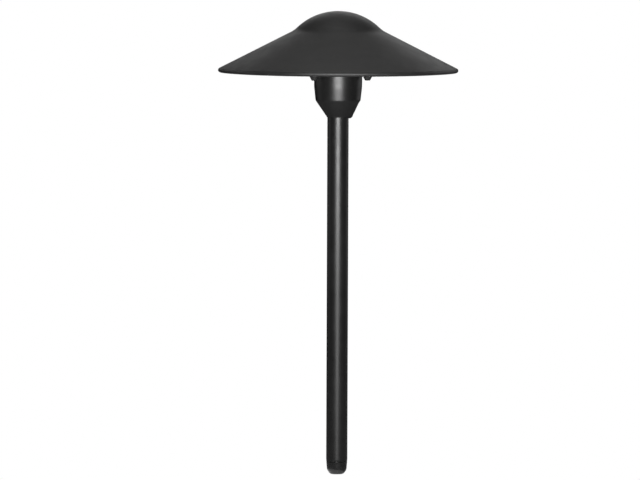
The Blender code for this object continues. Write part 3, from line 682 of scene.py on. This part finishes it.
# ---- Cap nuts -------------------------------------------------------------------------------
def make_cap_nut(name):
    """A cap nut below the flange, open at its top, and its washer."""
    low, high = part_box(f"cap_nut_{name}")
    at = (low + high) / 2
    hex_bottom = high.z - HEX_HEIGHT
    bm = bmesh.new()
    hex_rings = chamfered_hex(bm, hex_bottom, high.z, at.xy)
    base = ACROSS_FLATS / 2 * CAP_BASE_SHARE
    cap = [
        (base, hex_bottom, 0),
        (base, hex_bottom - CAP_STEP, 0.0005),
        (CAP_END_RADIUS, low.z, 0.0008),
        (0, low.z, 0),
    ]
    cap_rings = [ring(bm, r, z, HEX_SEGMENTS, at.xy) for r, z in rounded(cap, 5, closed=False)]
    deep = high.z - NUT_BORE_DEPTH
    bore_side = (
        (0, deep - 0.0008),
        (NUT_BORE, deep),
        (NUT_BORE, high.z - LEAD_IN),
        (NUT_BORE + LEAD_IN, high.z),
    )
    bore_rings = [ring(bm, r, z, HEX_SEGMENTS, at.xy) for r, z in bore_side]
    join_all(bm, bore_rings + hex_rings + cap_rings)
    nut = mesh_object(f"domed_nut_{name}", bm, [NUT_COAT])
    place(nut, f"cap_nut_{name}", f"cap_nut_{name}", slot="blackened_steel")

    low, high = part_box(f"washer_{name}")
    outline = tube_outline(half_width(f"washer_{name}"), NUT_BORE, low.z, high.z, 0.0002)
    washer = lathe(f"flat_washer_{name}", outline, [STEEL], 64, axis=at.xy)
    place(washer, f"washer_{name}", f"washer_{name}", slot="stainless_steel")


# ---- Lamp cup -------------------------------------------------------------------------------
def cup_bell(low, high):
    """The cup's outer side, from under the flange to the neck."""
    mouth, draft, shoulder, neck = CUP_FILLETS
    return [
        (CUP_MOUTH_RADIUS, high.z - FLANGE_THICKNESS, mouth),
        (CUP_MOUTH_RADIUS, low.z + CUP_DRAFT, draft),
        (CUP_WAIST_RADIUS, low.z + CUP_SHOULDER, shoulder),
        (CUP_NECK_RADIUS, low.z + CUP_NECK_EDGE, neck),
        (CUP_NECK_RADIUS - 0.0003, low.z, 0),
    ]


def make_cup():
    low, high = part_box("lamp_cup")
    low.z += SET_BOSS_DROP  # from here on, the bottom of the neck
    flange = half_width("lamp_cup")
    seal = half_width("lens_seal_lower")
    corners = [
        (flange, high.z, FLANGE_FILLET),
        (flange, high.z - FLANGE_THICKNESS, FLANGE_FILLET),
        *cup_bell(low, high),
        (BORE_RADIUS, low.z, 0.0003),
        (BORE_RADIUS, low.z + BORE_DEPTH, 0),
        (STEM_BORE, low.z + BORE_DEPTH, 0),
        (STEM_BORE, low.z + CHAMBER_FLOOR, 0.0005),
        (CHAMBER_RADIUS, low.z + CHAMBER_FLOOR, 0.0015),
        (CHAMBER_RADIUS, high.z - MOUTH_DEPTH, 0.0004),
        (MOUTH_BORE, high.z - MOUTH_DEPTH, 0),
        (MOUTH_BORE, high.z, 0.0004),
        (seal - SEAL_GROOVE_WIDTH, high.z, 0.0003),
        (seal - SEAL_GROOVE_WIDTH, high.z - SEAL_GROOVE_DEPTH, 0.0002),
        (seal + 0.0003, high.z - SEAL_GROOVE_DEPTH, 0.0002),
        (seal + 0.0003, high.z, 0.0003),
    ]
    cup = lathe("cast_cup", rounded(corners, 8), [CUP_COAT], 160)
    for name in SIDES:
        at = middle(f"stud_{name}")
        hole = half_width(f"stud_{name}") + 0.0005
        cut(cup, cutter(hole, high.z - 0.006, high.z + 0.001, at.x, at.y))
    place(cup, "head", "lamp_cup", slot="black_paint")
    make_set_boss(low, high)
    make_posts(low)


def make_posts(low):
    """The two posts in the chamber that take the holder plate's screws."""
    floor = low.z + CHAMBER_FLOOR - 0.0005
    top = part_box("holder_plate")[0].z - 0.0003
    for name in ("left", "right"):
        at = middle(f"plate_screw_{name}")
        corners = [
            (POST_RADIUS, top, 0.0004),
            (POST_FOOT_RADIUS, floor, 0),
            (POST_BORE, floor, 0),
            (POST_BORE, top, 0.0002),
        ]
        post = lathe(f"cup_post_{name}", rounded(corners, 4), [CUP_COAT], 40, axis=at.xy)
        place(post, "head", slot="black_paint")


def bell_radius(outline, z):
    """The radius of an outline that runs downwards, at a height."""
    for (r0, z0), (r1, z1) in zip(outline, outline[1:]):
        if z1 <= z <= z0:
            return r0 + (r1 - r0) * (z0 - z) / max(z0 - z1, 1e-9)
    return outline[-1][0]


def make_set_boss(low, high):
    """The swelling on the neck that takes the set screw. It dies away at the shoulder."""
    screw = middle("neck_set_screw")
    bearing = math.atan2(screw.y, screw.x)
    bell_side = rounded(cup_bell(low, high), 8, closed=False)
    top = low.z + SET_BOSS_TOP
    inner = BORE_RADIUS + 0.0002
    columns, rows = 64, 48

    def outer_radius(z, bottom, share):
        bell = bell_radius(bell_side, max(z, low.z))
        line = bell_radius(bell_side, top) - SET_BOSS_SLOPE * (top - z)
        deep = max(0.0, bottom + SET_BOSS_ROUND - z)
        line -= SET_BOSS_ROUND - math.sqrt(SET_BOSS_ROUND**2 - deep**2)
        return max(inner, bell - 0.0001 + max(0.0, line - bell) * share)

    bm = bmesh.new()
    outside, inside = [], []
    for k in range(columns + 1):
        across = 2 * k / columns - 1
        share = math.cos(math.pi / 2 * across) ** 2
        bottom = low.z - SET_BOSS_DROP * share
        turn = bearing + across * SET_BOSS_SPREAD
        out = Vector((math.cos(turn), math.sin(turn), 0))
        heights = [bottom + (top - bottom) * (j / rows) ** 1.5 for j in range(rows + 1)]
        outer = [out * outer_radius(z, bottom, share) + Vector((0, 0, z)) for z in heights]
        outside.append([bm.verts.new(point) for point in outer])
        inside.append([bm.verts.new(out * (inner - 0.0001) + Vector((0, 0, z))) for z in heights])
    for k in range(columns):
        near, far = outside[k], outside[k + 1]
        near_in, far_in = inside[k], inside[k + 1]
        for j in range(rows):
            bm.faces.new((near[j], far[j], far[j + 1], near[j + 1]))
            bm.faces.new((near_in[j], near_in[j + 1], far_in[j + 1], far_in[j]))
        for j in (0, rows):
            bm.faces.new((near[j], near_in[j], far_in[j], far[j]))
    for side, side_in in ((outside[0], inside[0]), (outside[-1], inside[-1])):
        for j in range(rows):
            bm.faces.new((side[j], side[j + 1], side_in[j + 1], side_in[j]))
    boss = mesh_object("set_screw_boss", bm, [CUP_COAT])
    hole = cutter(SET_SCREW_HOLE, 0.006, 0.024, 0, 0, 32)
    turn_to_screw(hole)
    cut(boss, hole)
    place(boss, "head", slot="black_paint")


def turn_to_screw(obj):
    """Swings a piece that was built on +Z onto the set screw's axis."""
    screw = middle("neck_set_screw")
    out = Vector((screw.x, screw.y, 0)).normalized()
    turn = Vector((0, 0, 1)).rotation_difference(out).to_matrix().to_4x4()
    obj.data.transform(Matrix.Translation((0, 0, screw.z)) @ turn)


def make_set_screw():
    """A socket set screw with its tip on the stem."""
    tip = BORE_RADIUS
    head = SET_SCREW_REACH
    axis = Vector((0, 0, 0))
    threads = [(tip + 0.0006, head - 0.0003)]
    radius = SET_SCREW_RADIUS
    body = threaded_bar("grub_screw", radius, tip, head, threads, BLACK_STEEL, axis, 0.0003)
    socket = SET_SCREW_SOCKET
    outline = [
        (0, head + 0.001),
        (socket, head + 0.001),
        (socket, head - 0.0022),
        (0, head - 0.0026),
    ]
    cut(body, lathe("cutter", outline, [], 6, closed=False))
    turn_to_screw(body)
    place(body, "set_screw", "neck_set_screw", slot="blackened_steel")


# ---- Stem -----------------------------------------------------------------------------------
def make_stem():
    low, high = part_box("stem")
    radius = half_width("stem")
    wall = [(radius, low.z + (high.z - low.z) * (1 - k / 24)) for k in range(1, 24)]
    corners = [(radius, high.z, 0.0005), *[(r, z, 0) for r, z in wall]]
    corners += [
        (radius, low.z + STEM_TAPER, 0.0060),
        (radius - 0.0002, low.z, 0.0003),
        (STEM_BORE, low.z, 0.0003),
        (STEM_BORE, high.z, 0.0003),
    ]
    pipe = lathe("stem_pipe", rounded(corners, 4), [STEM_COAT], 128)
    place(pipe, "stem", "stem", slot="black_paint")


def make_foot():
    low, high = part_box("stem_foot")
    radius = half_width("stem_foot")
    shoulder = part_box("stem")[0].z - 0.0003
    hole = half_width("supply_cable") + 0.0003
    plug = STEM_BORE - 0.0003
    corners = [
        (plug - 0.0006, high.z, 0.0006),
        (plug, high.z - 0.0020, 0),
        (plug, shoulder, 0.0002),
        (radius, shoulder, 0.0003),
        *[(r, low.z + z, soft) for r, z, soft in (FOOT_WAIST, FOOT_TOE)],
        (FOOT_FACE_RADIUS, low.z, 0.0004),
        (hole, low.z, 0.0005),
        (hole, high.z, 0.0004),
    ]
    foot = lathe("foot_plug", rounded(corners, 8), [FOOT_RUBBER], 112)
    place(foot, "stem", "stem_foot", slot="black_rubber")


def make_cable():
    """The jacket, with its two cores bared at the cut lower end."""
    low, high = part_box("supply_cable")
    radius = half_width("supply_cable")
    corners = [
        (0, high.z, 0),
        (radius, high.z, 0.0006),
        (radius, low.z, 0.0003),
        (radius - JACKET_WALL, low.z, 0.0002),
        (radius - JACKET_WALL, low.z + 0.0006, 0),
        (0, low.z + 0.0006, 0),
    ]
    jacket = lathe("cable_jacket", rounded(corners, 4, closed=False), [BLACK], 48, closed=False)
    place(jacket, "stem", "supply_cable", slot="black_insulation")
    for x, name, colour in ((-CORE_OFFSET, "red", RED), (CORE_OFFSET, "black", BLACK)):
        corners = [
            (0, low.z + 0.0020, 0),
            (CORE_RADIUS, low.z + 0.0020, 0),
            (CORE_RADIUS, low.z + 0.0002, 0.0002),
            (0, low.z + 0.0002, 0),
        ]
        outline = rounded(corners, 3, closed=False)
        core = lathe(f"cable_core_{name}", outline, [colour], 24, closed=False, axis=(x, 0))
        place(core, "stem", slot=f"{name}_insulation")
        make_strands(f"cable_strands_{name}", x, low.z)


def make_strands(name, x, z):
    """Seven copper strands at the cut end of a core."""
    bm = bmesh.new()
    radius = STRAND_RADIUS
    spacing = 2.05 * radius
    turns = [k * math.pi / 3 for k in range(6)]
    centres = [(0, 0)] + [(spacing * math.cos(t), spacing * math.sin(t)) for t in turns]
    profile = [
        (0, z + 0.0010),
        (radius, z + 0.0010),
        (radius, z + 0.0001),
        (radius * 0.6, z),
        (0, z),
    ]
    for dx, dy in centres:
        axis = Vector((x + dx, dy))
        join_all(bm, [ring(bm, r, h, 12, axis) for r, h in profile])
    place(mesh_object(name, bm, [COPPER]), "stem", slot="brass")


# ---- Lamp holder ----------------------------------------------------------------------------
def make_screw(name, node):
    """A slotted pan-head screw."""
    low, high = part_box(node)
    at = (low + high) / 2
    head = half_width(node)
    head_height = head * 0.66
    shank = head * 0.53
    corners = [
        (0, high.z, 0),
        (head * 0.8, high.z, head_height * 0.45),
        (head, high.z - head_height, 0.0002),
        (shank, high.z - head_height, 0.0001),
        (shank, low.z + shank / 2, 0),
        (shank / 2, low.z, 0),
        (0, low.z, 0),
    ]
    screw = lathe(name, rounded(corners, 5, closed=False), [STEEL], 40, closed=False, axis=at.xy)
    bm = bmesh.new()
    size = Matrix.Diagonal((head * 3, head * 0.28, head_height * 1.1, 1))
    bmesh.ops.create_cube(bm, size=1, matrix=Matrix.Translation((at.x, at.y, high.z)) @ size)
    cut(screw, mesh_object("cutter", bm, []))
    place(screw, "head", node, slot="stainless_steel")


def make_holder():
    low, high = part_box("lamp_holder")
    radius = half_width("lamp_holder")
    corners = [
        (0, high.z, 0),
        (radius * 0.62, high.z, 0.0004),
        (radius * 0.70, high.z - 0.0005, 0.0004),
        (radius, high.z - 0.0005, 0.0013),
        (radius, low.z + 0.0026, 0.0004),
        (radius * 0.95, low.z + 0.0020, 0.0004),
        (radius * 0.95, low.z, 0.0004),
        (0, low.z, 0),
    ]
    holder = lathe("ceramic_holder", rounded(corners, 5, closed=False), [CERAMIC], 80, closed=False)
    for side in ("left", "right"):
        at = middle(f"contact_{side}")
        cut(holder, cutter(0.00075, high.z - 0.0012, high.z + 0.001, at.x, at.y, 24))
        cut(holder, cutter(0.0015, low.z - 0.001, high.z - 0.0010, at.x, at.y, 24))
    for side in ("front", "rear"):
        at = middle(f"holder_screw_{side}")
        cut(holder, cutter(0.0026, high.z - 0.0025, high.z + 0.001, at.x, at.y, 32))
        cut(holder, cutter(0.0015, low.z - 0.001, high.z - 0.002, at.x, at.y, 24))
    bevel(holder, 0.00015, 2)
    place(holder, "head", "lamp_holder", slot="ceramic")
    make_screw("slotted_screw_front", "holder_screw_front")
    make_screw("slotted_screw_rear", "holder_screw_rear")
    make_screw("plate_slotted_left", "plate_screw_left")
    make_screw("plate_slotted_right", "plate_screw_right")


# ---- Glass and lamp -------------------------------------------------------------------------
def make_glass():
    low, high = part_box("lens")
    radius = half_width("lens")
    outline = tube_outline(radius, radius - GLASS_WALL, low.z, high.z, 0.0012)
    glass = lathe("glass_tube", outline, [GLASS], 128)
    place(glass, "lens", "lens", slot="frosted_glass")
    for node, body, width in (
        ("lens_seal_lower", "head", LOWER_SEAL_WIDTH),
        ("lens_seal_upper", "lens", UPPER_SEAL_WIDTH),
    ):
        low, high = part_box(node)
        outer = half_width(node)
        outline = tube_outline(outer, outer - width, low.z, high.z, 0.0004)
        place(lathe(f"{node}_ring", outline, [SILICONE], 112), body, node, slot="silicone")


def make_lamp():
    low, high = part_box("lamp_base")
    radius = half_width("lamp_base")
    corners = [
        (0, high.z, 0),
        (radius * 0.9, high.z, 0.0008),
        (radius, high.z - 0.0020, 0.0006),
        (radius, low.z, 0.0005),
        (0, low.z, 0),
    ]
    base = lathe("lamp_cap", rounded(corners, 5, closed=False), [CERAMIC], 64, closed=False)
    place(base, "lamp", "lamp_base", slot="ceramic")
    for side in ("left", "right"):
        low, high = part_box(f"lamp_pin_{side}")
        at = (low + high) / 2
        radius = half_width(f"lamp_pin_{side}")
        corners = [
            (0, high.z, 0),
            (radius, high.z, 0),
            (radius, low.z, radius * 0.9),
            (0, low.z, 0),
        ]
        outline = rounded(corners, 4, closed=False)
        pin = lathe(f"round_pin_{side}", outline, [BRASS], 20, closed=False, axis=at.xy)
        place(pin, "lamp", f"lamp_pin_{side}", slot="brass")
    make_core()
    for number in range(1, 7):
        make_chip(number)


def make_core():
    """The three boards round the lamp's core, with their joined edges rounded."""
    low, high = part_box("lamp_core")
    corner = high.y  # the core's rear corner lies on the Y axis
    bm = bmesh.new()
    matrix = Matrix.Translation((0, 0, (low.z + high.z) / 2))
    size = {"radius1": corner, "radius2": corner, "depth": high.z - low.z}
    bmesh.ops.create_cone(bm, cap_ends=True, segments=3, matrix=matrix, **size)
    top = max(bm.faces, key=lambda f: f.calc_center_median().z)
    bmesh.ops.inset_individual(bm, faces=[top], thickness=0.0008)
    bmesh.ops.translate(bm, verts=top.verts, vec=(0, 0, -0.0008))
    core = mesh_object("board_core", bm, [BOARD])
    bevel(core, 0.00025, 3)
    place(core, "lamp", "lamp_core", slot="lamp_board")


def make_chip(number):
    """A chip: a white package with a sunk, slightly domed phosphor window."""
    node = f"led_chip_{number}"
    at = middle(node)
    low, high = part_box(node)
    height = high.z - low.z
    bm = bmesh.new()
    size = Matrix.Diagonal((height, height, CHIP_THICKNESS, 1))
    bmesh.ops.create_cube(bm, size=1, matrix=size)
    bmesh.ops.bevel(bm, geom=bm.edges[:], offset=0.00022, segments=3, affect="EDGES", profile=0.5)
    top = max(bm.faces, key=lambda f: (round(f.calc_center_median().z, 6), f.calc_area()))
    bmesh.ops.inset_individual(bm, faces=[top], thickness=CHIP_BORDER)
    bmesh.ops.inset_individual(bm, faces=[top], thickness=0.0001, depth=-CHIP_SINK)
    top.material_index = 1
    poke = bmesh.ops.poke(bm, faces=[top])
    for vert in poke["verts"]:
        vert.co.z += CHIP_DOME
    out = Vector((at.x, at.y, 0)).normalized()
    turn = out.to_track_quat("Z", "Y").to_matrix().to_4x4()
    bmesh.ops.transform(bm, matrix=Matrix.Translation(at) @ turn, verts=bm.verts)
    place(mesh_object(f"chip_{number}", bm, [CERAMIC, PHOSPHOR]), "lamp", node, slot="phosphor")


# ---- CAD nodes that stay --------------------------------------------------------------------
def dress(node, material, width=0.0):
    """Gives a carried-over CAD node its material, and a fine bevel if a width is given."""
    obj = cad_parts[node]
    obj.data.materials.clear()
    obj.data.materials.append(material)
    obj.data.shade_smooth()
    if width:
        step = obj.modifiers.new("fine_edge", "BEVEL")
        step.width = width
        step.segments = 2
        step.limit_method = "ANGLE"
        step.angle_limit = math.radians(50)
        step.harden_normals = True
    else:
        obj.data.set_sharp_from_angle(angle=SMOOTH_ANGLE)


def dress_nodes():
    dress("cable_grommet", SEAL_RUBBER, 0.0002)
    dress("neck_o_ring", SEAL_RUBBER)
    dress("holder_plate", ALUMINIUM, 0.00015)
    dress("contact_left", BRASS, 0.0001)
    dress("contact_right", BRASS, 0.0001)
    dress("lead_red", RED)
    dress("lead_black", BLACK)


# ---- Studio ---------------------------------------------------------------------------------
CENTRE = (CAD_BOX[0] + CAD_BOX[1]) / 2


def softbox(name, azimuth, elevation, distance, size, power, height, aim=None):
    """A soft light that the camera doesn't see, facing the stem's axis at a height.

    Azimuth 0 is the front and 90 the right. aim turns it to another point.
    """
    light = bpy.data.lights.new(name, "AREA")
    light.shape = "RECTANGLE"
    light.size, light.size_y = size
    light.energy = power
    obj = bpy.data.objects.new(name, light)
    bpy.context.scene.collection.objects.link(obj)
    a, e = math.radians(azimuth), math.radians(elevation)
    target = Vector((CENTRE.x, CENTRE.y, height))
    back = Vector((math.sin(a) * math.cos(e), -math.cos(a) * math.cos(e), math.sin(e)))
    obj.location = target + back * distance
    look = (aim or target) - obj.location
    obj.rotation_mode = "QUATERNION"
    obj.rotation_quaternion = look.to_track_quat("-Z", "Y")
    obj.visible_camera = False


def make_lights():
    """A panel before the lamp cup, panels low behind the hat for its sides, and fill all round."""
    rim_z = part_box("hat")[0].z
    dome_z = rim_z + 0.04
    cup_z = rim_z - 0.077
    stem_z = 0.25
    # name, azimuth, elevation, distance, size, power, height
    front = (
        ("front_key", 1, 0, 0.7, (0.42, 0.12), 3.9, cup_z),
        ("front_fill", 1, 0, 0.7, (0.42, 0.24), 2.6, cup_z),
        ("front_low", 1, 0, 0.7, (0.24, 0.06), 0.5, 0.035),
    )
    around = (
        ("left_side", -105, 12, 1.4, (0.8, 0.9), 0.8, stem_z),
        ("right_side", 125, 12, 1.4, (0.9, 0.9), 1.3, stem_z),
        ("back", 177, 24, 1.1, (0.8, 0.35), 1.3, dome_z),
        ("back_high", 180, 50, 1.1, (0.6, 0.35), 0.45, dome_z),
        ("front_high", 0, 36, 1.2, (0.8, 0.5), 2.2, dome_z),
        ("back_key", 180, 2, 0.9, (0.24, 0.16), 0.8, rim_z - 0.1),
        ("top", 0, 88, 1.1, (0.5, 0.5), 0.8, dome_z),
        ("left_high", -125, 22, 1.2, (0.5, 0.22), 0.8, rim_z),
        ("right_high", 120, 22, 1.2, (0.5, 0.22), 0.8, rim_z),
    )
    # Lying on the floor at the foot's left, like light that the floor throws back.
    bounces = (
        ("foot_bounce", 0.011, (0.027, 0.036), 0.0026),
        ("foot_bounce_wide", 0.008, (0.034, 0.036), 0.0024),
    )
    for row in front:
        softbox(*row)
    for name, offset, size, power in bounces:
        above = Vector((CENTRE.x - offset, CENTRE.y, 1))
        softbox(name, -90, 0, offset, size, power, 0.0003, above)
    for row in around:
        softbox(*row)


def make_world():
    """A plain sky: white to the camera and dim as a light."""
    world = bpy.data.worlds.new("studio")
    bpy.context.scene.world = world
    world.use_nodes = True
    tree = world.node_tree
    tree.nodes.clear()
    rays = tree.nodes.new("ShaderNodeLightPath")
    seen = tree.nodes.new("ShaderNodeBackground")
    lit = tree.nodes.new("ShaderNodeBackground")
    lit.inputs["Strength"].default_value = SKY_STRENGTH
    seen.inputs["Color"].default_value = (1, 1, 1, 1)
    lit.inputs["Color"].default_value = (1, 1, 1, 1)
    mix = tree.nodes.new("ShaderNodeMixShader")
    output = tree.nodes.new("ShaderNodeOutputWorld")
    tree.links.new(rays.outputs["Is Camera Ray"], mix.inputs[0])
    tree.links.new(lit.outputs[0], mix.inputs[1])
    tree.links.new(seen.outputs[0], mix.inputs[2])
    tree.links.new(mix.outputs[0], output.inputs[0])


def make_floor():
    """A pale floor that the camera sees as plain white, and clear when it is seen from below."""
    bm = bmesh.new()
    bmesh.ops.create_grid(bm, x_segments=8, y_segments=8, size=FLOOR_REACH)
    bmesh.ops.translate(bm, verts=bm.verts, vec=(0, 0, CAD_BOX[0].z - 0.0001))
    mesh = bpy.data.meshes.new("floor")
    bm.to_mesh(mesh)
    bm.free()
    floor = bpy.data.objects.new("floor", mesh)
    bpy.context.scene.collection.objects.link(floor)
    material = bpy.data.materials.new("pale_floor")
    material.use_nodes = True
    tree = material.node_tree
    tree.nodes.clear()
    rays = tree.nodes.new("ShaderNodeLightPath")
    side = tree.nodes.new("ShaderNodeNewGeometry")
    diffuse = tree.nodes.new("ShaderNodeBsdfDiffuse")
    diffuse.inputs[0].default_value = (*grey(FLOOR_GREY), 1)
    glow = tree.nodes.new("ShaderNodeEmission")
    clear = tree.nodes.new("ShaderNodeBsdfTransparent")
    glow.inputs["Strength"].default_value = 1.0
    seen = tree.nodes.new("ShaderNodeMixShader")
    final = tree.nodes.new("ShaderNodeMixShader")
    output = tree.nodes.new("ShaderNodeOutputMaterial")
    tree.links.new(rays.outputs["Is Camera Ray"], seen.inputs[0])
    tree.links.new(diffuse.outputs[0], seen.inputs[1])
    tree.links.new(glow.outputs[0], seen.inputs[2])
    tree.links.new(side.outputs["Backfacing"], final.inputs[0])
    tree.links.new(seen.outputs[0], final.inputs[1])
    tree.links.new(clear.outputs[0], final.inputs[2])
    tree.links.new(final.outputs[0], output.inputs[0])
    mesh.materials.append(material)


def make_camera():
    camera = bpy.data.objects.new("camera", bpy.data.cameras.new("camera"))
    bpy.context.scene.collection.objects.link(camera)
    camera.data.sensor_width = 36
    camera.data.lens = CAMERA_LENS
    camera.data.clip_end = 200
    back = Vector((0, -math.cos(CAMERA_ELEVATION), math.sin(CAMERA_ELEVATION)))
    camera.location = CENTRE + CAMERA_AIM + back * CAMERA_DISTANCE
    level = (-back).to_track_quat("-Z", "Y").to_matrix()
    camera.rotation_euler = (level @ Matrix.Rotation(CAMERA_ROLL, 3, "Z")).to_euler()
    bpy.context.scene.camera = camera
    bpy.context.scene.view_settings.view_transform = "Standard"


def main():
    make_hat()
    make_reflector_plate()
    for name in SIDES:
        make_stud(name)
        make_cap_nut(name)
    make_cup()
    make_set_screw()
    make_stem()
    make_foot()
    make_cable()
    make_holder()
    make_glass()
    make_lamp()
    dress_nodes()
    make_lights()
    make_world()
    make_floor()
    make_camera()


main()
